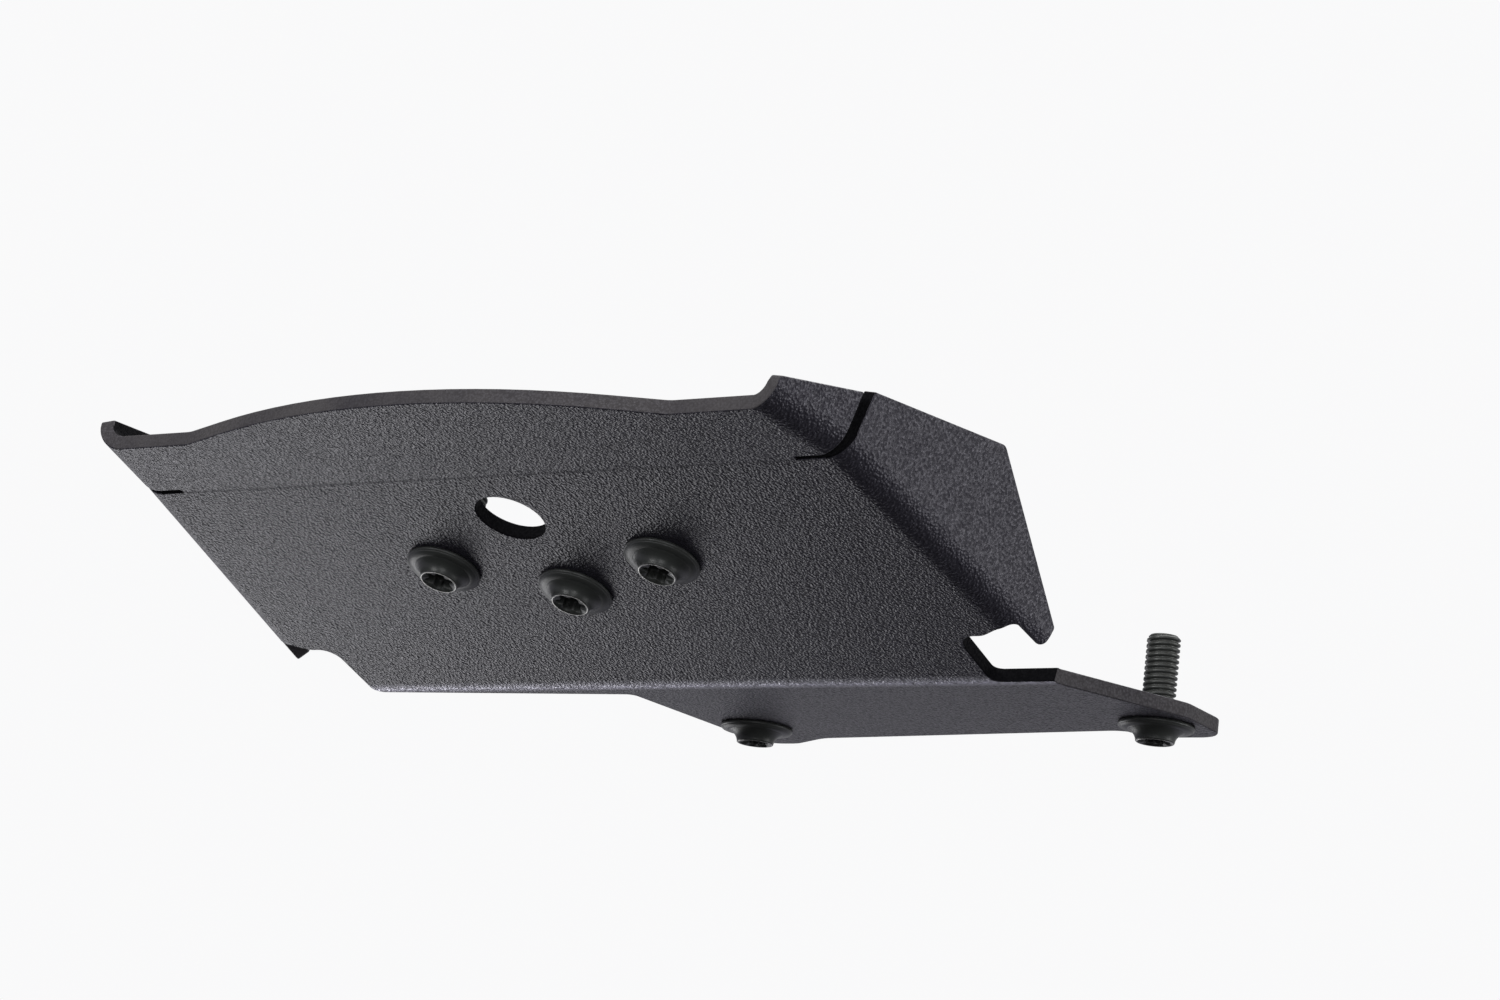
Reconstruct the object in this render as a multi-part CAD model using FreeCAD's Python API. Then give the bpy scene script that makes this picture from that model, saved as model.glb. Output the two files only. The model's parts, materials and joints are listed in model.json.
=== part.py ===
"""Tail cover for a motorcycle: one folded sheet, held by five flanged screws.

Millimetres. X is to the right, Y forward, Z up. The origin is the centre of the cable hole,
on the upper face of the main panel. Each flat piece is drawn level and then folded into place.
"""
import FreeCAD, Part
import math
import os

V = FreeCAD.Vector
Place = FreeCAD.Placement
Turn = FreeCAD.Rotation

# Sheet: aluminium with a powder coat on both faces
SHEET = 2.5
COAT = 0.1
T = SHEET + 2 * COAT
BEND_IN = 2.5
BEND_OUT = BEND_IN + T

# Main panel: folds measured from the cable hole, half widths up to the side bends
HOLE_D = 12.5
REAR_FOLD = 12.4
FRONT_FOLD = 54.4
REAR_HALF = 70.3
FRONT_HALF = 78.3

# Side flanges: lean from level, heights from the outside corner, places along the bend
FLANGE_LEAN = 76.0
FLANGE_REAR_H = 11.6
FLANGE_REAR_LEAN = 0.9
FLANGE_PEAK_H = 22.3
FLANGE_PEAK_S = 29.6
FLANGE_TIP_H = 5.4
FLANGE_NOSE = 6.6
FLANGE_PEAK_R = 1.6
TOOTH_R = 1.6
TOOTH_LEAN = 43.0

# Rear flap: bent down from the panel, with a low shoulder each side of a wide arch
FLAP_DROP = 7.6
FLAP_IN = 6.0
FLAP_SHOULDER = 16.9
FLAP_ARCH_HALF = 50.5
FLAP_ARCH_SLOPE = 16.5
FLAP_ARCH_R = 144.0
FLAP_BLEND = 6.0
FLAP_TAPER = 4.1
LIP_FRONT_H = 10.5
LIP_REAR_H = 5.3

# Slits that part the rear lips from the side flanges
SLIT_W = 0.9
SLIT_LEN = 5.3

# Notches at the two front corners
NOTCH_DEEP = 14.4
NOTCH_HALF = 68.0
NOTCH_R = 3.4
NOTCH_STEP = 1.8

# Front fold: wider bend, narrow lip on the left, tongue from the middle to the right
FRONT_IN = 5.5
TONGUE_RISE = 18.7
LIP_LEFT = 1.6
LIP_ROOT = 5.9
LIP_R = 3.0
TONGUE_LEFT = 11.3
TONGUE_DRAW = 2.2
TONGUE_FRONT_IN = 43.3
TONGUE_FRONT_OUT = 37.7
EAR_IN = 47.9
EAR_OUT = 43.7
EAR_SIDE = 8.6
EAR_R = 5.0
TONGUE_ROOT = 80.0

# Screws: flanged button head with a six-lobe socket
THREAD_D = 6.0
HOLE_CLEAR = 0.6
SCREW_LEN = 16.0
FLANGE_D = 13.6
RIM = 0.9
HEAD_H = 3.3
DOME_D = 10.4
DOME_RISE = 0.2
CROWN_D = 7.4
NECK_D = 5.2
NECK_SPARE = 0.5
SOCKET_D = 6.1
SOCKET_IN = 0.6
SOCKET_DEEP = 1.9

# Where the screws sit
SIDE_SCREW_X = 23.5
SIDE_SCREW_Y = 13.8
MID_SCREW_Y = 22.2
FRONT_SCREW_X = (-1.2, 82.8)
FRONT_SCREW_D = 32.9

# Sizes that follow from those above
SIDE_SLANT = math.degrees(math.atan2(FRONT_HALF - REAR_HALF, REAR_FOLD + FRONT_FOLD))
LIP_SLANT = math.degrees(math.atan2(FLAP_TAPER, FLAP_SHOULDER))
SIDE_SET = BEND_OUT * math.tan(math.radians(FLANGE_LEAN / 2))
FRONT_SET = (FRONT_IN + T) * math.tan(math.radians(TONGUE_RISE / 2))
REAR_SET = FLAP_IN * math.tan(math.radians(FLAP_DROP / 2))
SLIT_IN = REAR_HALF - SLIT_LEN
NOTCH_REAR = FRONT_FOLD - NOTCH_DEEP
NOTCH_OPEN = FRONT_FOLD - 2 * FRONT_SET
NOTCH_S = (NOTCH_REAR + REAR_FOLD) / math.cos(math.radians(SIDE_SLANT))
WIDE = 2 * FRONT_HALF


def rounded(corners):
    """Closed wire through (x, y, radius) corners, each turned by an arc of its radius."""
    ends = []
    for i, (x, y, radius) in enumerate(corners):
        here = V(x, y, 0)
        back = V(*corners[i - 1][:2], 0) - here
        ahead = V(*corners[(i + 1) % len(corners)][:2], 0) - here
        back.normalize()
        ahead.normalize()
        half = back.getAngle(ahead) / 2
        reach = radius / math.tan(half)
        middle = back + ahead
        if radius:
            middle.normalize()
        mid = here + middle * (radius / math.sin(half) - radius)
        ends.append((here + back * reach, mid, here + ahead * reach))
    edges = []
    for i, (first, mid, last) in enumerate(ends):
        if corners[i][2]:
            edges.append(Part.Arc(first, mid, last).toShape())
        following = ends[(i + 1) % len(ends)][0]
        edges.append(Part.LineSegment(last, following).toShape())
    return Part.Wire(edges)


def slab(corners, low=-T, high=0.0):
    """Flat piece with a rounded outline, between two heights."""
    face = Part.Face(rounded(corners))
    face.translate(V(0, 0, low))
    return face.extrude(V(0, 0, high - low))


def hinge(axis_z, angle):
    """Placement that folds a level piece about an axis along X at a height."""
    return Place(V(0, 0, axis_z), Turn(V(1, 0, 0), angle)) * Place(V(0, 0, -axis_z), Turn())


def frame(x, y, degrees):
    """Placement of a fold: its X runs along the bend and its Y leaves the panel."""
    return Place(V(x, y, 0), Turn(V(0, 0, 1), degrees))


def moved(shape, place):
    """Copy of a shape, carried by a placement."""
    copy = shape.copy()
    copy.Placement = place * copy.Placement
    return copy


def bend(axis_z, angle, start, end, first=0.0):
    """Curved part of a fold along X, from angle first on; a fold is upward if its axis is above."""
    middle = (first + angle) / 2

    def at(z, turned):
        return hinge(axis_z, turned).multVec(V(start, 0, z))
    edges = [
        Part.Arc(at(0, first), at(0, middle), at(0, angle)).toShape(),
        Part.LineSegment(at(0, angle), at(-T, angle)).toShape(),
        Part.Arc(at(-T, angle), at(-T, middle), at(-T, first)).toShape(),
        Part.LineSegment(at(-T, first), at(0, first)).toShape(),
    ]
    return Part.Face(Part.Wire(edges)).extrude(V(end - start, 0, 0))


def twin(shape):
    """A left-hand piece joined with its right-hand twin."""
    return [shape, shape.mirror(V(0, 0, 0), V(1, 0, 0))]


# Main panel with its side flanges
def main_panel():
    """Level panel between the folds; beside the slits it reaches the rear fold line."""
    rear = REAR_SET - REAR_FOLD
    front = FRONT_FOLD - FRONT_SET
    front_half = FRONT_HALF - FRONT_SET * math.tan(math.radians(SIDE_SLANT))
    left = [
        (-SLIT_IN, rear, 0), (-SLIT_IN, -REAR_FOLD, 0),
        (-REAR_HALF, -REAR_FOLD, 0), (-front_half, front, 0),
    ]
    right = [(-x, y, r) for x, y, r in reversed(left)]
    return slab(left + right)


def side_flange():
    """Left flange, its bend and the tooth that reaches forward past the notch."""
    rear = NOTCH_S - NOTCH_STEP
    nose = NOTCH_S + FLANGE_NOSE
    outline = [
        (0, 0, 0), (-FLANGE_REAR_LEAN, FLANGE_REAR_H - SIDE_SET, 0),
        (FLANGE_PEAK_S, FLANGE_PEAK_H - SIDE_SET, FLANGE_PEAK_R),
        (nose, FLANGE_TIP_H - SIDE_SET, TOOTH_R / 2), (nose, 0, 0),
    ]
    piece = moved(slab(outline), hinge(BEND_IN, FLANGE_LEAN))
    piece = piece.fuse(bend(BEND_IN, FLANGE_LEAN, 0, rear))
    piece = piece.fuse(bend(BEND_IN, FLANGE_LEAN, rear, nose, TOOTH_LEAN)).removeSplitter()
    corners = [hinge(BEND_IN, TOOTH_LEAN).multVec(V(x, 0, -T / 2)) for x in (rear, nose)]
    edges = [e for e in piece.Edges if min((e.CenterOfMass - c).Length for c in corners) < COAT]
    piece = piece.makeFillet(TOOTH_R, edges)
    return moved(piece, frame(-REAR_HALF, -REAR_FOLD, 90 + SIDE_SLANT))


# Rear flap with its two lips
def flap_outline():
    """Flap drawn with Y to the rear, its free edge low at the sides and arched between."""
    shoulder = FLAP_SHOULDER - REAR_SET
    start = SLIT_W - REAR_SET
    start_half = REAR_HALF - SLIT_W * FLAP_TAPER / FLAP_SHOULDER
    peak = shoulder + FLAP_ARCH_HALF * math.tan(math.radians(FLAP_ARCH_SLOPE))
    side = [
        (SLIT_IN, 0, 0), (SLIT_IN, start, SLIT_W / 4), (start_half, start, 0),
        (REAR_HALF - FLAP_TAPER, shoulder, 0), (FLAP_ARCH_HALF, shoulder, FLAP_BLEND),
    ]
    other = [(-x, y, r) for x, y, r in reversed(side)]
    return side + [(0, peak, FLAP_ARCH_R)] + other


def rear_flap():
    """Flap with its shallow fold and a lip up each side."""
    pieces = [bend(-T - FLAP_IN, -FLAP_DROP, -SLIT_IN, SLIT_IN)]
    down = hinge(-T - FLAP_IN, -FLAP_DROP)
    for piece in [slab(flap_outline())] + twin(rear_lip()):
        pieces.append(moved(piece, down))
    whole = frame(0, REAR_SET - REAR_FOLD, 180)
    return [moved(piece, whole) for piece in pieces]


def rear_lip():
    """Lip up the side of the flap, tallest at the slit."""
    end = FLAP_SHOULDER / math.cos(math.radians(LIP_SLANT))
    rear_h = LIP_REAR_H - SIDE_SET
    lean_in = rear_h * math.tan(math.radians(LIP_SLANT))
    outline = [
        (SLIT_W, 0, 0), (end, 0, 0), (end - lean_in, rear_h, 0),
        (SLIT_W, LIP_FRONT_H - SIDE_SET, 0),
    ]
    piece = moved(slab(outline), hinge(BEND_IN, FLANGE_LEAN))
    piece = piece.fuse(bend(BEND_IN, FLANGE_LEAN, SLIT_W, end))
    return moved(piece, frame(-REAR_HALF, -REAR_SET, 90 - LIP_SLANT))


# Front lip and tongue
def tongue():
    """Front piece: a narrow lip that widens to the right, then the tongue with two ears."""
    def far(distance):
        return distance - FRONT_SET
    inner, outer = FRONT_SCREW_X
    left = -TONGUE_LEFT
    drawn = TONGUE_DRAW - TONGUE_LEFT
    right = outer + EAR_SIDE
    outline = [
        (-NOTCH_HALF, 0, 0), (-NOTCH_HALF, far(LIP_LEFT), 0), (left, far(LIP_ROOT), LIP_R / 2),
        (drawn, far(EAR_IN), EAR_R), (inner, far(EAR_IN), EAR_R),
        (inner + EAR_SIDE, far(TONGUE_FRONT_IN), 2 * EAR_R),
        (outer - EAR_SIDE, far(TONGUE_FRONT_OUT), EAR_R),
        (outer - EAR_R, far(EAR_OUT), EAR_R / 2),
        (right, far(EAR_OUT), EAR_R), (right, far(FRONT_SCREW_D - EAR_R), EAR_R),
        (TONGUE_ROOT, far(LIP_LEFT), 0), (TONGUE_ROOT, 0, 0),
    ]
    pieces = [bend(FRONT_IN, TONGUE_RISE, -NOTCH_HALF, TONGUE_ROOT)]
    pieces.append(moved(slab(outline), hinge(FRONT_IN, TONGUE_RISE)))
    place = frame(0, FRONT_FOLD - FRONT_SET, 0)
    return [moved(piece, place) for piece in pieces]


# Notches
def notch_wall(side):
    """Rear and inner wall of a notch, from the side bend inward; side is -1 left or 1 right."""
    slope = math.tan(math.radians(SIDE_SLANT))
    half = REAR_HALF + (NOTCH_REAR + REAR_FOLD) * slope
    return [
        (side * (half + (NOTCH_OPEN - NOTCH_REAR) * slope), NOTCH_OPEN, 0),
        (side * half, NOTCH_REAR - NOTCH_STEP, 0),
        (side * (half - NOTCH_R), NOTCH_REAR, NOTCH_R), (side * NOTCH_HALF, NOTCH_REAR, NOTCH_R),
    ]


def left_notch():
    """Left notch; it also rounds off the free corner of the front lip."""
    corner = FRONT_FOLD + LIP_LEFT
    outline = notch_wall(-1) + [
        (-NOTCH_HALF, corner, LIP_R), (LIP_ROOT - NOTCH_HALF, corner + LIP_R / 4, 0),
        (LIP_ROOT - NOTCH_HALF, WIDE, 0), (-WIDE, WIDE, 0), (-WIDE, NOTCH_OPEN, 0),
    ]
    return slab(outline, -2 * T, 2 * T)


def right_notch():
    """Right notch, closed in front by the root of the tongue."""
    outline = notch_wall(1) + [
        (NOTCH_HALF, FRONT_FOLD, NOTCH_R / 2), (WIDE, FRONT_FOLD, 0), (WIDE, NOTCH_OPEN, 0),
    ]
    return slab(outline, -2 * T, 2 * T)


# Screws
def socket():
    """Six-lobe recess, drawn as a rounded star."""
    outline = []
    for i in range(12):
        radius = SOCKET_D / 2 if i % 2 == 0 else SOCKET_D / 2 - 2 * SOCKET_IN
        angle = math.radians(30 * i)
        turn_r = SOCKET_IN / 2 if i % 2 == 0 else SOCKET_IN
        outline.append((radius * math.cos(angle), radius * math.sin(angle), turn_r))
    return slab(outline, -2 * HEAD_H, SOCKET_DEEP - HEAD_H)


def screw():
    """Screw with its seat at the origin and its shank up +Z."""
    rim = FLANGE_D / 2
    dome = DOME_D / 2
    crown = CROWN_D / 2
    neck = NECK_D / 2
    thread = THREAD_D / 2
    grip = T + NECK_SPARE
    ease = thread - neck
    edge = RIM / 4
    slope = RIM + edge
    outward = V(HEAD_H - slope, 0, crown - dome).normalize()
    bulge = V((crown + dome) / 2, 0, -(HEAD_H + slope) / 2) + outward * DOME_RISE
    line = [
        (dome, -slope), (rim - edge, -RIM), (rim, edge - RIM), (rim, 0), (neck, 0), (neck, grip),
        (thread, grip + ease), (thread, SCREW_LEN - 2 * ease), (neck, SCREW_LEN), (0, SCREW_LEN),
        (0, -HEAD_H), (crown, -HEAD_H),
    ]
    points = [V(r, 0, z) for r, z in line]
    edges = [Part.LineSegment(a, b).toShape() for a, b in zip(points, points[1:])]
    edges.append(Part.Arc(points[-1], bulge, points[0]).toShape())
    body = Part.Face(Part.Wire(edges)).revolve(V(0, 0, 0), V(0, 0, 1), 360)
    return body.cut(socket())


def rear_seats():
    """Seats of the three screws on the underside of the main panel."""
    spots = [(-SIDE_SCREW_X, SIDE_SCREW_Y), (SIDE_SCREW_X, SIDE_SCREW_Y), (0, MID_SCREW_Y)]
    return [Place(V(x, y, -T), Turn()) for x, y in spots]


def front_seats():
    """Seats of the two screws on the underside of the tongue."""
    seats = []
    for x in FRONT_SCREW_X:
        level = Place(V(x, FRONT_SCREW_D - FRONT_SET, -T), Turn())
        seats.append(frame(0, FRONT_FOLD - FRONT_SET, 0) * hinge(FRONT_IN, TONGUE_RISE) * level)
    return seats


def tail_cover():
    """The whole folded sheet with its holes."""
    pieces = twin(side_flange()) + rear_flap() + tongue()
    sheet = main_panel().multiFuse(pieces)
    sheet = sheet.cut(left_notch()).cut(right_notch())
    sheet = sheet.cut(Part.makeCylinder(HOLE_D / 2, 3 * T, V(0, 0, -2 * T)))
    drill = Part.makeCylinder((THREAD_D + HOLE_CLEAR) / 2, 3 * T, V(0, 0, -T))
    for seat in rear_seats() + front_seats():
        sheet = sheet.cut(moved(drill, seat))
    return sheet.removeSplitter()


def group(seats):
    """One screw in each seat, kept as separate solids."""
    return Part.Compound([moved(screw(), seat) for seat in seats])


nodes = {
    "tail_cover": tail_cover(),
    "rear_screws": group(rear_seats()),
    "front_screws": group(front_seats()),
}
os.makedirs("parts", exist_ok=True)
for name, shape in nodes.items():
    print(name, "solids", len(shape.Solids), "volume", round(shape.Volume), "valid", shape.isValid())
    shape.exportStep("parts/" + name + ".step")
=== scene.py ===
# %% [markdown]
# # Dressing a folded tail cover
# The part is one aluminium sheet, cut, folded and powder coated, with five black screws. Its shape
# comes ready made from the CAD frame, so this lesson is about what the CAD leaves out: softened
# edges, the grain of the coat, real screw heads and threads, and light that shows them.
# Everything is in metres, in the CAD's own frame: X right, Y forward, Z up.

# %% Load the frame and measure it
import json
import math
import bmesh
import bpy
from mathutils import Matrix, Vector
from mathutils.bvhtree import BVHTree


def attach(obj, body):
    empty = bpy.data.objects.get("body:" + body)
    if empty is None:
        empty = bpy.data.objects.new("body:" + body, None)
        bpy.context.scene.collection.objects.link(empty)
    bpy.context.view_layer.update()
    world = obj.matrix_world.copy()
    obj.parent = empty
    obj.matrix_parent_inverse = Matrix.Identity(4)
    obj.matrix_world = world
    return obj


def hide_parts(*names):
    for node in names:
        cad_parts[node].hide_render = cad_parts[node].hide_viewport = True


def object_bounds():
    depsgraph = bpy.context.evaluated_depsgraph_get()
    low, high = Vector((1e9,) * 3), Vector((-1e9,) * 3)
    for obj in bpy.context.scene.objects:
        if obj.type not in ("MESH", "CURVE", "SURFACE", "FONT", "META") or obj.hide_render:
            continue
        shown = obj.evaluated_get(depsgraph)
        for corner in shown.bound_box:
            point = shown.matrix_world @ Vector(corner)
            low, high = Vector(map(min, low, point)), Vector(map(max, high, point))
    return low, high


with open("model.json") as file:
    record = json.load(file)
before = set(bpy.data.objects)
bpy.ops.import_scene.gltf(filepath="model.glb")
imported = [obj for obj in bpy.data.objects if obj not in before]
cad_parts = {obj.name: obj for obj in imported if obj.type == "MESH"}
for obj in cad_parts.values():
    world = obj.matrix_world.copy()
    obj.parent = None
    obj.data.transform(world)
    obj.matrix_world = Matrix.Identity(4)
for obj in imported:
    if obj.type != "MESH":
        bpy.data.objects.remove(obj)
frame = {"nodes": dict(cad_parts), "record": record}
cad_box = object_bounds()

MM = 0.001
mounts = {mount["name"]: mount for mount in frame["record"]["mounts"]}
cad_size = [round(v / MM, 1) for v in cad_box[1] - cad_box[0]]
print("nodes", sorted(frame["nodes"]), "box in mm", cad_size)

# %% [markdown]
# ## The camera
# The picture looks up at the cover from behind, below and to the right, with a long lens. A camera can
# be aimed with a constraint, but this one is also rolled a little, so its place and two of its axes
# are given outright and the third is worked out from them.

# %% Place the camera
CAMERA_PLACE = Vector((0.37170, -0.39969, -0.28994))
CAMERA_RIGHT = Vector((0.8355, 0.4711, 0.2829)).normalized()
CAMERA_UP = Vector((0.0390, -0.5643, 0.8247)).normalized()
LENS_MM = 86.4
SENSOR_MM = 36.0

camera_data = bpy.data.cameras.new("camera")
camera_data.lens = LENS_MM
camera_data.sensor_width = SENSOR_MM
camera_data.sensor_fit = "HORIZONTAL"
camera_data.clip_start = 10 * MM
camera = bpy.data.objects.new("camera", camera_data)
axes = Matrix((CAMERA_RIGHT, CAMERA_UP, CAMERA_RIGHT.cross(CAMERA_UP))).transposed()
camera.matrix_world = Matrix.Translation(CAMERA_PLACE) @ axes.to_4x4()
bpy.context.scene.collection.objects.link(camera)
bpy.context.scene.camera = camera
bpy.context.scene.view_settings.view_transform = "Standard"
print("camera", round(CAMERA_PLACE.length, 3), "m from the cable hole")

# %% [markdown]
# ## Small helpers for shader nodes
# Materials are built from nodes in code. Two helpers keep that short: one adds a node and fills its
# sockets, either with a value or with a link from another node, and one starts a node group, which is
# a part of a shader that several materials can share.


# %% Node helpers
def node(tree, kind, settings=None, **sockets):
    """Add a node, set its properties, and fill its inputs with values or with other outputs."""
    made = tree.nodes.new("ShaderNode" + kind)
    for name, value in (settings or {}).items():
        setattr(made, name, value)
    for name, value in sockets.items():
        socket = made.inputs[int(name[1:])] if name[0] == "i" and name[1:].isdigit() else (
            made.inputs[name.replace("_", " ")])
        if isinstance(value, bpy.types.NodeSocket):
            tree.links.new(value, socket)
        else:
            socket.default_value = value
    return made


def math_node(tree, operation, *values):
    """One step of arithmetic on values or outputs."""
    inputs = {"i%d" % i: value for i, value in enumerate(values)}
    return node(tree, "Math", {"operation": operation}, **inputs).outputs[0]


def blend_colour(tree, share, low, high):
    """Colour that goes from low to high as share goes from 0 to 1."""
    made = node(tree, "Mix", {"data_type": "RGBA"})
    for socket, value in ((made.inputs[0], share), (made.inputs[6], low), (made.inputs[7], high)):
        if isinstance(value, bpy.types.NodeSocket):
            tree.links.new(value, socket)
        else:
            socket.default_value = value
    return made.outputs[2]


def start_group(name, inputs, outputs):
    """New shader group with float inputs {name: default} and float outputs [name]."""
    tree = bpy.data.node_groups.new(name, "ShaderNodeTree")
    for socket, default in inputs.items():
        made = tree.interface.new_socket(socket, in_out="INPUT", socket_type="NodeSocketFloat")
        made.default_value = default
    for socket in outputs:
        tree.interface.new_socket(socket, in_out="OUTPUT", socket_type="NodeSocketFloat")
    return tree, tree.nodes.new("NodeGroupInput").outputs, tree.nodes.new("NodeGroupOutput").inputs


def use_group(tree, group, **inputs):
    """Place a shared group in a material with its own values, and give back its outputs."""
    made = tree.nodes.new("ShaderNodeGroup")
    made.node_tree = group
    for name, value in inputs.items():
        made.inputs[name.replace("_", " ")].default_value = value
    return made.outputs


def new_material(name):
    """Empty material with its Principled shader."""
    material = bpy.data.materials.new(name)
    material.use_nodes = True
    return material, material.node_tree, material.node_tree.nodes["Principled BSDF"]


print("helpers ready")

# %% [markdown]
# ## The grain of the coat
# Powder coat is sprayed on dry and melted in an oven. A textured powder dries into low rounded bumps
# under a millimetre across, with finer pits between them. It could be modelled, but that would take
# millions of faces, so it is a height that bends the light instead: rounded cells and noise, added up.

# %% Grain group
CELL_SMOOTH = 0.7
FINE_RATIO = 1.7
MOTTLE_PER_MM = 0.06


def grain_group():
    """Height of the bumps, and a slow mottle for colour and gloss."""
    tree, given, result = start_group(
        "coat_grain", {"Size mm": 0.7, "Fine share": 0.4}, ["Height", "Mottle"])
    place = node(tree, "TexCoord").outputs["Object"]
    per_metre = math_node(tree, "DIVIDE", 1 / MM, given["Size mm"])
    cells = node(tree, "TexVoronoi", {"feature": "SMOOTH_F1"}, Vector=place, Scale=per_metre,
                 Smoothness=CELL_SMOOTH)
    fine_scale = math_node(tree, "MULTIPLY", per_metre, FINE_RATIO)
    fine = node(tree, "TexNoise", Vector=place, Scale=fine_scale, Detail=2.0, Roughness=0.55)
    domes = math_node(tree, "SUBTRACT", 1.0, cells.outputs["Distance"])
    pits = math_node(tree, "MULTIPLY", fine.outputs["Fac"], given["Fine share"])
    tree.links.new(math_node(tree, "ADD", domes, pits), result["Height"])
    slow = node(tree, "TexNoise", Vector=place, Scale=MOTTLE_PER_MM / MM, Detail=4.0, Roughness=0.6)
    tree.links.new(slow.outputs["Fac"], result["Mottle"])
    return tree


GRAIN = grain_group()
print("grain group", [s.name for s in GRAIN.interface.items_tree])

# %% [markdown]
# ## Rubbed edges
# A coat is a little thinner on a sharp edge and takes the first rubs there, so edges look a touch
# lighter and smoother. The Bevel node gives the normal as if the edges were rounded; where it departs
# from the true normal, an edge is near. Noise breaks the line up.

# %% Edge group
PATCHES_PER_MM = 0.5
NEAR_EDGE_GAIN = 6.0


# The screws use this mask for worn edges that are also made light enough to give a painted glint.
def edge_group():
    """Mask that is 1 near sharp edges and 0 elsewhere, broken into patches."""
    tree, given, result = start_group("near_edge_mask", {"Reach mm": 0.5, "Patchiness": 0.6}, ["Mask"])
    reach = math_node(tree, "MULTIPLY", given["Reach mm"], MM)
    rounded = node(tree, "Bevel", {"samples": 6}, Radius=reach).outputs[0]
    true = node(tree, "NewGeometry").outputs["Normal"]
    alike = node(tree, "VectorMath", {"operation": "DOT_PRODUCT"}, i0=rounded, i1=true)
    near = math_node(tree, "SUBTRACT", 1.0, alike.outputs["Value"])
    place = node(tree, "TexCoord").outputs["Object"]
    patches = node(tree, "TexNoise", Vector=place, Scale=PATCHES_PER_MM / MM, Detail=3.0).outputs["Fac"]
    kept = math_node(tree, "SUBTRACT", 1.0, math_node(tree, "MULTIPLY", patches, given["Patchiness"]))
    clamped = {"operation": "MULTIPLY", "use_clamp": True}
    mask = node(tree, "Math", clamped, i0=near, i1=kept).outputs[0]
    strong = node(tree, "Math", clamped, i0=mask, i1=NEAR_EDGE_GAIN).outputs[0]
    tree.links.new(strong, result["Mask"])
    return tree


EDGE = edge_group()
print("edge group", [s.name for s in EDGE.interface.items_tree])

# %% [markdown]
# ## Lines along the folds
# The ridge where the front tongue folds up gets a painted highlight: a soft speckled line of light
# metallic colour along the bend. The rear fold is hollow from below and shows as a thin dull line. Both are
# straight along X, so the distance from a fold is just a difference in Y, and only faces that look down
# count.

# %% Ridge group
LOOKS_DOWN = -0.8
SPECKS_PER_MM = 1.4
SPECK_LOW, SPECK_HIGH = 0.15, 0.60


def ridge_group():
    """Mask that fades from a straight fold along X on the underside, broken into specks."""
    tree, given, result = start_group("fold_line_mask", {"Ahead mm": 54.0, "Half width mm": 1.5}, ["Mask"])
    place = node(tree, "TexCoord").outputs["Object"]
    spot = node(tree, "SeparateXYZ", Vector=place).outputs
    ahead = math_node(tree, "MULTIPLY", given["Ahead mm"], MM)
    away = math_node(tree, "ABSOLUTE", math_node(tree, "SUBTRACT", spot["Y"], ahead))
    half = math_node(tree, "MULTIPLY", given["Half width mm"], MM)
    share = math_node(tree, "DIVIDE", away, half)
    near = node(tree, "MapRange", Value=share, From_Min=1.0, From_Max=0.0).outputs[0]
    normal = node(tree, "NewGeometry").outputs["True Normal"]
    facing = node(tree, "SeparateXYZ", Vector=normal).outputs["Z"]
    under = math_node(tree, "LESS_THAN", facing, LOOKS_DOWN)
    specks = node(tree, "TexNoise", Vector=place, Scale=SPECKS_PER_MM / MM, Detail=2.0).outputs["Fac"]
    grainy = node(tree, "MapRange", Value=specks, From_Min=SPECK_LOW, From_Max=SPECK_HIGH).outputs[0]
    mask = node(tree, "Math", {"operation": "MULTIPLY", "use_clamp": True}, i0=near, i1=grainy)
    tree.links.new(math_node(tree, "MULTIPLY", mask.outputs[0], under), result["Mask"])
    return tree


RIDGE = ridge_group()
print("ridge group", [s.name for s in RIDGE.interface.items_tree])

# %% [markdown]
# ## The coat itself
# One function makes the coat, because every part of the sheet wears the same powder. It flows smoother on
# the cut edges, so those get a lower, finer grain. The walls of cut-outs and the insides of the rear lips
# get hardly any light when the cover is in place, so they get painted shade: a nearly black copy of the
# coat.
# The pits of the grain shine less than its bumps, which brings the grain out where the light is flat.

# %% Coat materials
COAT_DARK = (0.018, 0.017, 0.0225, 1)
COAT_LIGHT = (0.027, 0.026, 0.033, 1)
COAT_DUSTY = (0.078, 0.073, 0.071, 1)
COAT_RUBBED = (0.065, 0.064, 0.068, 1)
# Painted highlight: light metallic colour of the speckled line along the front fold.
COAT_PAINTED_HIGHLIGHT = (0.62, 0.62, 0.645, 1)
# Painted shade: the two near-black colours of the coat on walls of cut-outs and inside the rear lips.
COAT_SHADED = (0.006, 0.006, 0.007, 1)
PAINTED_SHADE_DEEPEST = (0.003, 0.003, 0.0035, 1)
SHEEN_TINT = (0.92, 0.90, 1.0, 1)
RUB_SHARE = 0.45
BUMP_GLOSS = 0.1
PIT_SHEEN, BUMP_SHEEN = 0.4, 1.65
FRONT_FOLD_MM = 54.4
FRONT_LINE_MM = 2.4
REAR_FOLD_MM = -12.4
REAR_LINE_MM = 0.55
REAR_LINE_ROUGH = 0.60


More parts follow.
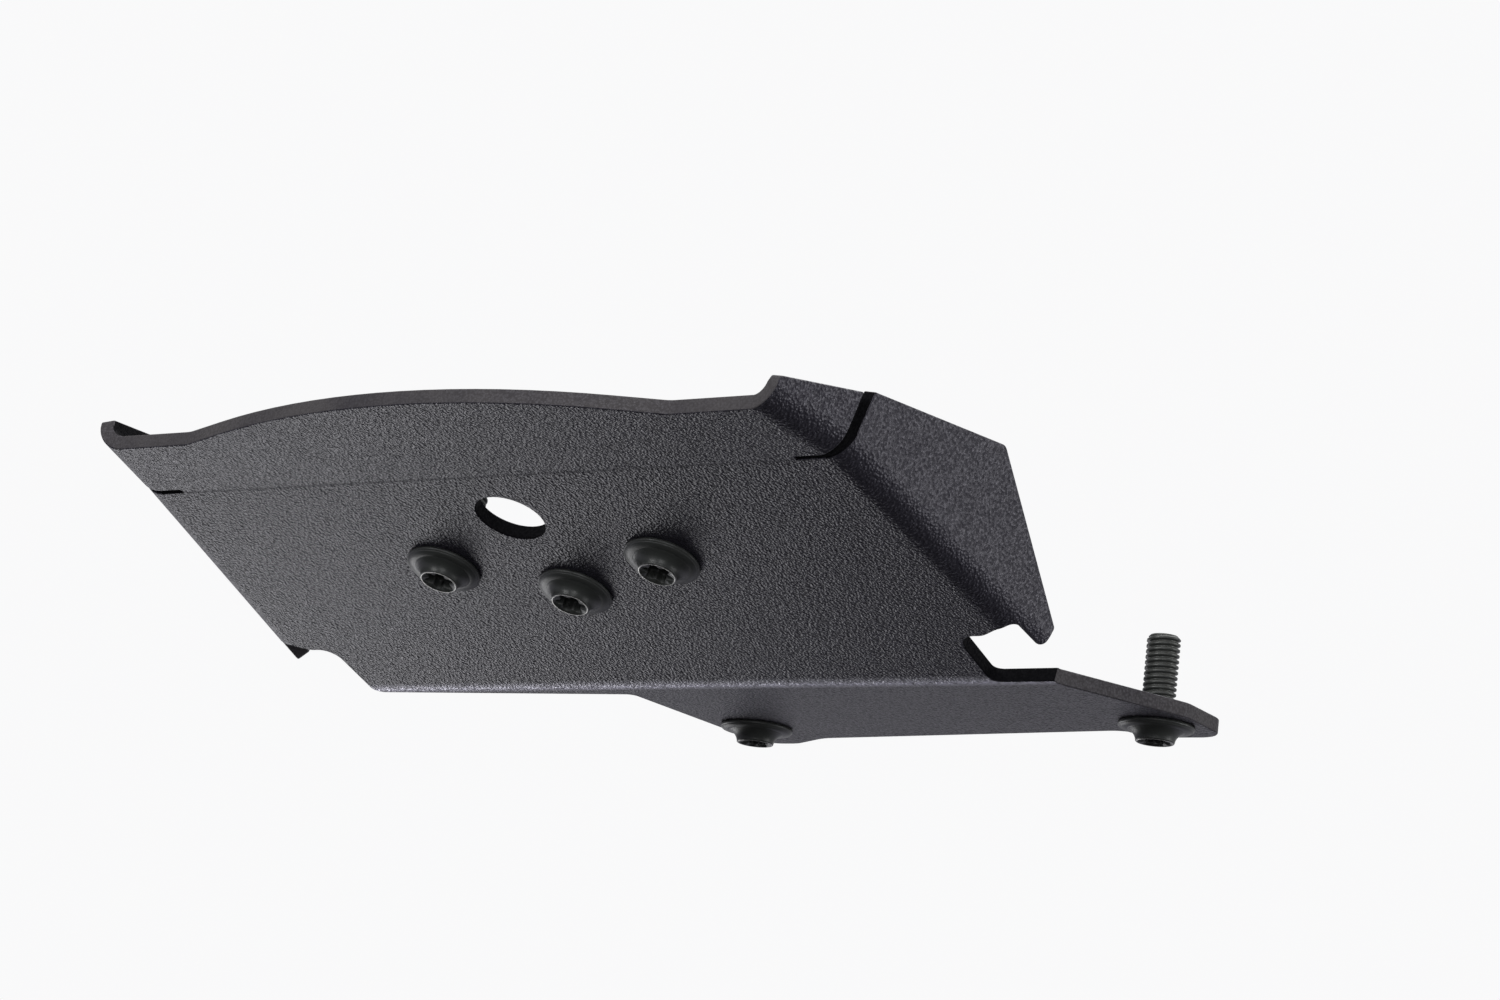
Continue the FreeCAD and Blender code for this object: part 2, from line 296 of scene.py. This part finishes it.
def powder_coat(name, colours, grain_mm, bump_mm, rough, specular, rub=RUB_SHARE, paint_fold_highlight=False):
    """Charcoal powder coat between two colours, with a grain of the given size and height."""
    material, tree, shader = new_material(name)
    grain = use_group(tree, GRAIN, Size_mm=grain_mm, Fine_share=0.5)
    colour = blend_colour(tree, grain["Mottle"], *colours)
    if rub:
        edges = use_group(tree, EDGE, Reach_mm=0.45, Patchiness=0.5)["Mask"]
        colour = blend_colour(tree, math_node(tree, "MULTIPLY", edges, rub), colour, COAT_RUBBED)
    # Painted highlight along the front fold: light metallic specks in place of light on the bend.
    if paint_fold_highlight:
        ridge = use_group(tree, RIDGE, Ahead_mm=FRONT_FOLD_MM, Half_width_mm=FRONT_LINE_MM)["Mask"]
        colour = blend_colour(tree, ridge, colour, COAT_PAINTED_HIGHLIGHT)
        tree.links.new(ridge, shader.inputs["Metallic"])
    tree.links.new(colour, shader.inputs["Base Color"])
    gloss = node(tree, "MapRange", Value=grain["Height"], From_Min=0.4, From_Max=1.2,
                 To_Min=rough, To_Max=rough - BUMP_GLOSS).outputs[0]
    crease = use_group(tree, RIDGE, Ahead_mm=REAR_FOLD_MM, Half_width_mm=REAR_LINE_MM)["Mask"]
    dull = node(tree, "Mix", {"data_type": "FLOAT"}, i0=crease, i2=gloss, i3=REAR_LINE_ROUGH)
    tree.links.new(dull.outputs[0], shader.inputs["Roughness"])
    bump = node(tree, "Bump", Height=grain["Height"], Strength=1.0, Distance=bump_mm * MM)
    tree.links.new(bump.outputs[0], shader.inputs["Normal"])
    sheen = node(tree, "MapRange", Value=grain["Height"], From_Min=0.60, From_Max=1.05,
                 To_Min=PIT_SHEEN * specular, To_Max=BUMP_SHEEN * specular)
    tree.links.new(sheen.outputs[0], shader.inputs["Specular IOR Level"])
    shader.inputs["Specular Tint"].default_value = SHEEN_TINT
    return material


COAT_FACE = powder_coat("powder_coat", (COAT_DARK, COAT_LIGHT), grain_mm=0.48, bump_mm=0.17,
                        rough=0.40, specular=0.38, paint_fold_highlight=True)
COAT_EDGE = powder_coat("powder_coat_on_cut_edge", (COAT_DARK, COAT_DUSTY), grain_mm=0.40, bump_mm=0.02,
                        rough=0.55, specular=0.15)
# Painted shade: a nearly black copy of the coat for walls and the insides of the rear lips.
PAINTED_SHADE_COAT = powder_coat("powder_coat_painted_shade", (PAINTED_SHADE_DEEPEST, COAT_SHADED), grain_mm=0.40, bump_mm=0.02,
                        rough=0.75, specular=0.03, rub=0)
print("coats", COAT_FACE.name, COAT_EDGE.name, PAINTED_SHADE_COAT.name)

# %% [markdown]
# ## The sheet
# The CAD solid has the right folds but knife-sharp edges, and a real coat rounds every one of them.
# A Bevel modifier would do it too, but its result has to be sorted into faces and cut edges, so the
# bevel is done once with bmesh on a copy. Facets on one plane are joined first, or the bevel would
# follow the facets. A face is a cut edge if a ray into the metal goes further than the sheet is thick.
# A cut edge that looks across a cut-out counts as a wall, and so does the inside of a rear lip. Walls get
# the painted shade coat.

# %% Round the sheet's edges
SHEET = mounts["cable_hole"]["dims"]["length_mm"] * MM
WELD = 0.0005 * MM
FLAT = math.radians(0.4)
SHARP = math.radians(28)
EDGE_ROUND = 0.28 * MM
FACE, CUT_EDGE, WALL = 0, 1, 2
RAY_START = SHEET / 20
THICKER = 1.15 * SHEET
CUT_OUT = 16 * MM
openings = {row["name"]: row["box_m"] for row in frame["record"]["physics"]["openings"]}
NOTCH_LOW, NOTCH_HIGH = openings["right_notch"]
NOTCH_REACH = 3.5 * MM
UPRIGHT = 0.3
INWARD = 0.25


def beside_notch(face):
    """True if an upright wall bounds one of the front notches, which are mirror images."""
    middle = face.calc_center_median_weighted()
    spot = (abs(middle.x), middle.y, middle.z)
    near = [low - NOTCH_REACH < v < high + NOTCH_REACH for low, v, high in zip(NOTCH_LOW, spot, NOTCH_HIGH)]
    return abs(face.normal.z) < UPRIGHT and all(near)


def inside_lip(face):
    """True if a face looks inwards from one of the rear lips."""
    middle = face.calc_center_median_weighted()
    inwards = -face.normal.x * math.copysign(1, middle.x)
    return middle.y < REAR_FOLD_MM * MM and inwards > INWARD


def sort_faces(mesh_edit):
    """Give each face of the sheet its slot: face, cut edge or wall."""
    tree = BVHTree.FromBMesh(mesh_edit)
    # Walls and the insides of the rear lips get the painted shade coat.
    for face in mesh_edit.faces:
        middle = face.calc_center_median_weighted()
        step = face.normal * RAY_START
        inward = tree.ray_cast(middle - step, -face.normal)[3]
        if inward is None or inward < THICKER:
            face.material_index = WALL if inside_lip(face) else FACE
            continue
        gap = tree.ray_cast(middle + step, face.normal)[3]
        across = gap is not None and gap < CUT_OUT
        face.material_index = WALL if across or beside_notch(face) else CUT_EDGE


def coated_sheet():
    """Copy of the CAD sheet with joined facets and rounded edges."""
    mesh = frame["nodes"]["tail_cover"].data.copy()
    mesh.name = "coated_sheet"
    mesh.materials.clear()
    for coat in (COAT_FACE, COAT_EDGE, PAINTED_SHADE_COAT):
        mesh.materials.append(coat)
    edit = bmesh.new()
    edit.from_mesh(mesh)
    bmesh.ops.remove_doubles(edit, verts=edit.verts, dist=WELD)
    bmesh.ops.dissolve_limit(edit, angle_limit=FLAT, verts=edit.verts, edges=edit.edges)
    sort_faces(edit)
    for slot, kind in ((FACE, "faces"), (CUT_EDGE, "cut edges"), (WALL, "walls")):
        area = sum(face.calc_area() for face in edit.faces if face.material_index == slot)
        print(kind, round(area / MM ** 2), "square mm")
    sharp = [e for e in edit.edges if e.is_manifold and e.calc_face_angle() > SHARP]
    bmesh.ops.bevel(edit, geom=sharp, offset=EDGE_ROUND, segments=3, profile=0.5, affect="EDGES",
                    clamp_overlap=False, material=-1)
    for face in edit.faces:
        face.smooth = True
    edit.to_mesh(mesh)
    edit.free()
    piece = bpy.data.objects.new("coated_sheet", mesh)
    bpy.context.scene.collection.objects.link(piece)
    weigh = piece.modifiers.new("even_normals", "WEIGHTED_NORMAL")
    weigh.keep_sharp = True
    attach(piece, "root")
    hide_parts("tail_cover")
    return piece, len(sharp)


sheet_piece, rounded_edges = coated_sheet()
print("sheet", len(sheet_piece.data.polygons), "faces after rounding", rounded_edges, "edges")

# %% [markdown]
# ## Black steel
# The screws are steel with a black oxide skin: an oily, faintly green black that is smoother than the
# coat. The skin wears off the edges first, most of all on the rim of the socket, where the key goes in,
# and bare steel shows there; it is made light and metallic so that it also gives a painted glint.
# The flat of the flange shines a little more than the dome.

# %% Screw material
OXIDE = (0.038, 0.041, 0.038, 1)
# Worn steel on edges and the socket rim, light and metallic so that it also gives a painted glint.
OXIDE_WORN_AND_GLINT = (0.42, 0.42, 0.40, 1)
WEAR_AND_GLINT_SHARE = 0.8
METALLIC_WEAR_AND_GLINT = 0.8
GLOSS_RANGE = 0.11
TURNING_MM = 0.004


def black_oxide(name, colour, rough, specular, metallic):
    """Blackened steel that goes to light metallic steel on its edges: wear, and a painted glint."""
    material, tree, shader = new_material(name)
    grain = use_group(tree, GRAIN, Size_mm=0.22, Fine_share=0.8)
    wear_and_glint_mask = use_group(tree, EDGE, Reach_mm=0.30, Patchiness=0.4)["Mask"]
    worn_and_glinting_colour = blend_colour(tree, math_node(tree, "MULTIPLY", wear_and_glint_mask, WEAR_AND_GLINT_SHARE), colour, OXIDE_WORN_AND_GLINT)
    tree.links.new(worn_and_glinting_colour, shader.inputs["Base Color"])
    gloss = node(tree, "MapRange", Value=grain["Mottle"], From_Min=0.3, From_Max=0.7,
                 To_Min=rough, To_Max=rough + GLOSS_RANGE)
    tree.links.new(gloss.outputs[0], shader.inputs["Roughness"])
    bump = node(tree, "Bump", Height=grain["Height"], Strength=1.0, Distance=TURNING_MM * MM)
    tree.links.new(bump.outputs[0], shader.inputs["Normal"])
    bare_and_glint_metallic = node(tree, "MapRange", Value=wear_and_glint_mask, To_Min=metallic, To_Max=METALLIC_WEAR_AND_GLINT).outputs[0]
    tree.links.new(bare_and_glint_metallic, shader.inputs["Metallic"])
    shader.inputs["Specular IOR Level"].default_value = specular
    return material


STEEL = black_oxide("black_oxide", OXIDE, rough=0.30, specular=0.28, metallic=0.15)
FLANGE = black_oxide("black_oxide_on_flange", OXIDE, rough=0.36, specular=0.46, metallic=0.15)
# Painted glint: the socket rim is light metallic steel that catches the lamps, on top of its wear.
BARE_STEEL_AND_GLINT = black_oxide("worn_socket_edge_and_painted_glint", OXIDE_WORN_AND_GLINT, rough=0.25, specular=0.5, metallic=METALLIC_WEAR_AND_GLINT)
print("screw finishes", STEEL.name, FLANGE.name, BARE_STEEL_AND_GLINT.name)

# %% [markdown]
# ## The screws
# Each screw is an M6 with a domed head on a wide flange, and a six-lobe socket. Its mesh is a stack of
# rings with the same number of points. A ring is round, or follows the six lobes, or rises and falls
# with the thread, so one loop makes the whole screw and nearly every face has four sides. Heights are
# above the seat, so the head's are negative. All sizes of a screw are in millimetres.

# %% Sizes of a screw
TURN = 96
SCREW_LONG = 16.0
THREAD_R = mounts["rear_screw_middle"]["dims"]["r_mm"]
THREAD_LONG = mounts["rear_screw_middle"]["dims"]["length_mm"]
PITCH = 1.0
THREAD_DEEP = 0.61
CREST = 1.55
FLANK = 3.1
NECK_R = 2.6
NECK_SPARE = 0.5
NECK_ROUND = 0.15
TIP = 2 * (THREAD_R - NECK_R)
TIP_DRAW = 0.15
TIP_FLAT_R = NECK_R - 0.3
FLANGE_R = 6.8
SEAT_ROUND = 0.2
RIM = 0.9
RIM_ROUND = 0.3
DOME_R = 5.0
DOME_STEP = 0.27
DOME_BULGE = 0.36
CROWN_R = 3.45
CROWN_ROUND = 0.12
CROWN_DROP = 0.1
MOUTH_R = 3.14
HEAD = 3.3
LOBE_OUT = 2.80
LOBE_IN = 1.93
LOBE_FULLNESS = 0.85
SOCKET_DEEP = 1.9
SOCKET_STEPS = ((0.06, 0.14), (0.0, 0.2), (-0.03, 0.6), (-0.06, 0.9), (-0.09, 1.0))


def lobes(angle, grow=0.0):
    """Radius of the six-lobe socket at an angle."""
    wave = 0.5 + 0.5 * math.cos(6 * angle)
    return LOBE_IN + (LOBE_OUT - LOBE_IN) * wave ** LOBE_FULLNESS + grow


def thread(angle, z):
    """Radius of the thread at an angle and height, with run-outs at both ends."""
    start = SCREW_LONG - TIP - THREAD_LONG
    share = (z / PITCH - angle / (2 * math.pi)) % 1.0
    ridge = min(1.0, max(0.0, CREST - FLANK * abs(share - 0.5)))
    ease = min(1.0, max(0.0, (z - start) / PITCH))
    radius = THREAD_R - THREAD_DEEP * (1 - ridge * ease)
    return min(radius, NECK_R - TIP_DRAW + (SCREW_LONG - z))


print("thread from", SCREW_LONG - TIP - THREAD_LONG, "to", SCREW_LONG - TIP, "mm above the seat")


# %% Rings of a screw
def arc(start, end, bulge, steps):
    """Points from start to end, (radius, z), standing out from the straight line by bulge."""
    (r0, z0), (r1, z1) = start, end
    span = math.hypot(r1 - r0, z1 - z0)
    points = []
    for i in range(1, steps + 1):
        t = i / steps
        lift = 4 * bulge * t * (1 - t) / span
        radius = r0 + (r1 - r0) * t + (z1 - z0) * lift
        points.append((radius, z0 + (z1 - z0) * t - (r1 - r0) * lift))
    return points


def turned_profile():
    """Points (radius, z) of the round part: neck, flange, dome, crown and the mouth of the socket."""
    points = [(NECK_R, SHEET / MM + NECK_SPARE), (NECK_R, NECK_ROUND), (NECK_R + NECK_ROUND, 0.0)]
    points += [(FLANGE_R - SEAT_ROUND, 0.0)]
    points += arc((FLANGE_R - SEAT_ROUND, 0.0), (FLANGE_R, -SEAT_ROUND), 0.05, 3)
    points += [(FLANGE_R, -RIM + RIM_ROUND)]
    points += arc((FLANGE_R, -RIM + RIM_ROUND), (FLANGE_R - RIM_ROUND, -RIM), 0.07, 4)
    points += [(DOME_R + 0.2, -RIM - 0.2), (DOME_R + 0.05, -RIM - 0.22), (DOME_R, -RIM - DOME_STEP)]
    points += arc((DOME_R, -RIM - DOME_STEP), (CROWN_R, -HEAD + CROWN_DROP), DOME_BULGE, 12)
    points += arc((CROWN_R, -HEAD + CROWN_DROP), (CROWN_R - CROWN_ROUND, -HEAD), 0.03, 4)
    return points + [(MOUTH_R + 0.04, -HEAD), (MOUTH_R, -HEAD + 0.02)]


def screw_rings():
    """Rings from the thread's tip down the shank, round the head and into the socket."""
    rings = [lambda a: (0.0, SCREW_LONG), lambda a: (TIP_FLAT_R, SCREW_LONG)]
    steps = int(round((THREAD_LONG + TIP) / PITCH * 10))
    for i in range(steps + 1):
        z = SCREW_LONG - (THREAD_LONG + TIP) * i / steps
        rings.append(lambda a, z=z: (thread(a, z), z))
    rings += [lambda a, p=p: p for p in turned_profile()]
    for grow, deep in SOCKET_STEPS:
        rings.append(lambda a, grow=grow, deep=deep: (lobes(a, grow), -HEAD + SOCKET_DEEP * deep))
    bottom = -HEAD + SOCKET_DEEP
    rings.append(lambda a: (0.9 * lobes(a), bottom + 0.08))
    rings.append(lambda a: (1.2, bottom + 0.25))
    rings.append(lambda a: (0.0, bottom + 0.6))
    return rings


# %% Mesh of a screw
SKIN, FLAT_OF_FLANGE, SOCKET_RIM = 0, 1, 2
FLANGE_FLAT_R = FLANGE_R - 0.05
FLANGE_FLAT_Z = -RIM + 0.15
SOCKET_RIM_R = CROWN_R - 0.08
SOCKET_RIM_Z = -HEAD + 0.05


def finish_of(face):
    """Slot of a screw face, from its distance to the axis and its height."""
    middle = face.calc_center_median() / MM
    radius = math.hypot(middle.x, middle.y)
    if DOME_R < radius < FLANGE_FLAT_R and middle.z < FLANGE_FLAT_Z:
        return FLAT_OF_FLANGE
    return SOCKET_RIM if MOUTH_R < radius < SOCKET_RIM_R and middle.z < SOCKET_RIM_Z else SKIN


def screw_mesh():
    """The screw in metres, its seat at the origin and its shank up Z."""
    edit = bmesh.new()
    rows = []
    for ring in screw_rings():
        row = []
        for i in range(TURN):
            angle = 2 * math.pi * i / TURN
            radius, z = ring(angle)
            spot = Vector((radius * math.cos(angle), radius * math.sin(angle), z)) * MM
            row.append(edit.verts.new(spot))
        rows.append(row)
    for upper, lower in zip(rows, rows[1:]):
        for i in range(TURN):
            j = (i + 1) % TURN
            edit.faces.new((upper[i], lower[i], lower[j], upper[j])).smooth = True
    bmesh.ops.remove_doubles(edit, verts=edit.verts, dist=WELD)
    bmesh.ops.recalc_face_normals(edit, faces=edit.faces)
    for face in edit.faces:
        face.material_index = finish_of(face)
    mesh = bpy.data.meshes.new("flanged_screw")
    for finish in (STEEL, FLANGE, BARE_STEEL_AND_GLINT):
        mesh.materials.append(finish)
    edit.to_mesh(mesh)
    edit.free()
    return mesh


SCREW = screw_mesh()
print("screw mesh", len(SCREW.polygons), "faces")

# %% [markdown]
# ## Setting the screws
# The record's mounts give the middle and the direction of each thread, so each screw is placed from
# its mount. Nobody lines sockets up when tightening, so every screw is turned by its own angle.

# %% Place the screws
SOCKET_TURNS = {
    "rear_screw_left": 8.0, "rear_screw_middle": 22.0, "rear_screw_right": 41.0,
    "front_screw_inner": 15.0, "front_screw_outer": 33.0,
}


def set_screw(name, turn):
    """One screw with its seat under the sheet, turned about its own axis."""
    mount = mounts[name]
    up = Vector(mount["axis"]).normalized()
    seat = Vector(mount["pos_m"]) - up * (SCREW_LONG - TIP - THREAD_LONG / 2) * MM
    aim = up.to_track_quat("Z", "Y").to_matrix().to_4x4()
    piece = bpy.data.objects.new(name, SCREW)
    bpy.context.scene.collection.objects.link(piece)
    piece.matrix_world = Matrix.Translation(seat) @ aim @ Matrix.Rotation(math.radians(turn), 4, "Z")
    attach(piece, "root")
    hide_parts(name.split("_")[0] + "_screws")
    return seat


for screw_name, socket_turn in SOCKET_TURNS.items():
    print(screw_name, [round(v / MM, 2) for v in set_screw(screw_name, socket_turn)])

# %% [markdown]
# ## The stage
# A pale floor lies well below the cover, which in use is held up by its screws. The camera looks up
# past the floor, so the background is the world: pale to the camera, softer in reflections and near the
# horizon, and an even light to everything else. The floor throws back less light than it shows to the
# camera, because a bright floor would wash the dark underside out.

# %% Floor and world
FLOOR_DROP = 0.9
FLOOR_HALF = 30.0
FLOOR_COLOUR = (0.85, 0.85, 0.86, 1)
FLOOR_SHADE = (0.470, 0.458, 0.535, 1)
BACKDROP = (0.95, 0.95, 0.955, 1)
HORIZON = (0.365, 0.36, 0.41, 1)
MIRRORED_SKY = (0.55, 0.55, 0.56, 1)
AMBIENT = (0.36, 0.36, 0.37, 1)
CLOUDS_PER_M = 3.0
CLOUD_SHADE = 0.97
RISE_LOW, RISE_HIGH = 0.05, 0.30


def flat_stage(name, corners, height, material):
    """Level stage surface between two corners (x, y)."""
    (x0, y0), (x1, y1) = corners
    mesh = bpy.data.meshes.new(name)
    rim = [(x0, y0), (x1, y0), (x1, y1), (x0, y1)]
    mesh.from_pydata([(x, y, height) for x, y in rim], [], [(0, 1, 2, 3)])
    mesh.materials.append(material)
    surface = bpy.data.objects.new(name, mesh)
    bpy.context.scene.collection.objects.link(surface)
    return surface


def floor_paint():
    """Matt pale paint, a little cloudy, that throws back less light than it shows to the camera."""
    material, tree, shader = new_material("pale_floor")
    place = node(tree, "TexCoord").outputs["Object"]
    cloud = node(tree, "TexNoise", Vector=place, Scale=CLOUDS_PER_M, Detail=3.0).outputs["Fac"]
    darker = tuple(CLOUD_SHADE * v for v in FLOOR_COLOUR[:3]) + (1,)
    seen = node(tree, "LightPath").outputs["Is Camera Ray"]
    colour = blend_colour(tree, seen, FLOOR_SHADE, blend_colour(tree, cloud, darker, FLOOR_COLOUR))
    tree.links.new(colour, shader.inputs["Base Color"])
    shader.inputs["Roughness"].default_value = 0.9
    return material


def studio_world():
    """Pale behind the part, softer in reflections and at the horizon, and an even light."""
    world = bpy.data.worlds.new("studio")
    world.use_nodes = True
    bpy.context.scene.world = world
    tree = world.node_tree
    path = node(tree, "LightPath").outputs
    seen = math_node(tree, "MAXIMUM", path["Is Camera Ray"], path["Is Glossy Ray"])
    seen = math_node(tree, "MAXIMUM", seen, path["Is Transmission Ray"])
    way = node(tree, "TexCoord").outputs["Generated"]
    rise = node(tree, "SeparateXYZ", Vector=way).outputs["Z"]
    high = node(tree, "MapRange", Value=rise, From_Min=RISE_LOW, From_Max=RISE_HIGH).outputs[0]
    sky = blend_colour(tree, path["Is Glossy Ray"], BACKDROP, MIRRORED_SKY)
    pale = blend_colour(tree, high, HORIZON, sky)
    background = tree.nodes["Background"]
    tree.links.new(blend_colour(tree, seen, AMBIENT, pale), background.inputs["Color"])


floor_z = cad_box[0].z - FLOOR_DROP
flat_stage("floor", ((-FLOOR_HALF, -FLOOR_HALF), (FLOOR_HALF, FLOOR_HALF)), floor_z, floor_paint())
studio_world()
print("floor at", round(floor_z, 3), "m")

# %% [markdown]
# ## A dark card
# In a pale room the whole underside would mirror a pale floor, and the bend would not show. Studios
# put a black card beside a shiny part for that. This one lies below the cover and reaches further to the
# right and the front, so the coat darkens from left to right and the bend goes nearly black. Only what
# leaves the cover downwards meets it: from below it lets light through, and the camera does not see it.

# %% Dark card
CARD_LEFT = -0.52
CARD_FRONT = 0.72
CARD_REACH = 1.0
CARD_REAR = -0.40
CARD_DROP = 0.35
CARD_COLOUR = (0.01, 0.01, 0.01, 1)


def card_black():
    """Black on top, and clear from below."""
    material, tree, shader = new_material("black_card")
    shader.inputs["Base Color"].default_value = CARD_COLOUR
    shader.inputs["Specular IOR Level"].default_value = 0.0
    below = node(tree, "NewGeometry").outputs["Backfacing"]
    clear = node(tree, "BsdfTransparent").outputs[0]
    sides = node(tree, "MixShader", i0=below, i1=shader.outputs[0], i2=clear).outputs[0]
    tree.links.new(sides, tree.nodes["Material Output"].inputs["Surface"])
    return material


card = flat_stage("card", ((CARD_LEFT, CARD_REAR), (CARD_REACH, CARD_FRONT)), -CARD_DROP, card_black())
card.visible_camera = False
print("card", CARD_DROP, "m below the panel")

# %% [markdown]
# ## The light
# Soft lamps at a plain level: one low on the left that shines up along the grain and brings the bumps
# out, one on the right for the side flange, one behind for the arched edge, one low on the right for the
# screws, and one overhead for the upper side. An even light from straight above keeps the floor pale.

# %% Soft lamps
TARGET = Vector((0.0, 0.03, 0.0))
LAMPS = {
    "low_left": {"place": (-0.68, 0.53, -0.34), "size": (0.45, 0.45), "watts": 1.95},
    "right": {"place": (0.85, 0.40, 0.10), "size": (0.50, 0.50), "watts": 2.9},
    "behind": {"place": (-0.10, -0.95, 0.01), "size": (0.45, 0.45), "watts": 6.0},
    "low_right": {"place": (0.55, -0.65, -0.26), "size": (0.35, 0.35), "watts": 1.6},
    "overhead": {"place": (0.10, -0.10, 1.20), "size": (0.80, 0.80), "watts": 8.0},
}


def soft_lamp(name, place, size, watts):
    """Soft light of that width and height, aimed at the cover."""
    data = bpy.data.lights.new(name, "AREA")
    data.shape = "RECTANGLE"
    data.size, data.size_y = size
    data.energy = watts
    lamp = bpy.data.objects.new(name, data)
    lamp.location = place
    lamp.rotation_euler = (TARGET - Vector(place)).to_track_quat("-Z", "Y").to_euler()
    lamp.visible_camera = False
    bpy.context.scene.collection.objects.link(lamp)


def sky_light(strength, spread):
    """Even light from straight above, so that the floor is pale all the way out."""
    data = bpy.data.lights.new("above", "SUN")
    data.energy = strength
    data.angle = math.radians(spread)
    bpy.context.scene.collection.objects.link(bpy.data.objects.new("above", data))


for lamp_name, lamp in LAMPS.items():
    soft_lamp(lamp_name, **lamp)
sky_light(strength=1.2, spread=60)
print("lamps", ", ".join(LAMPS), "and the light from above")
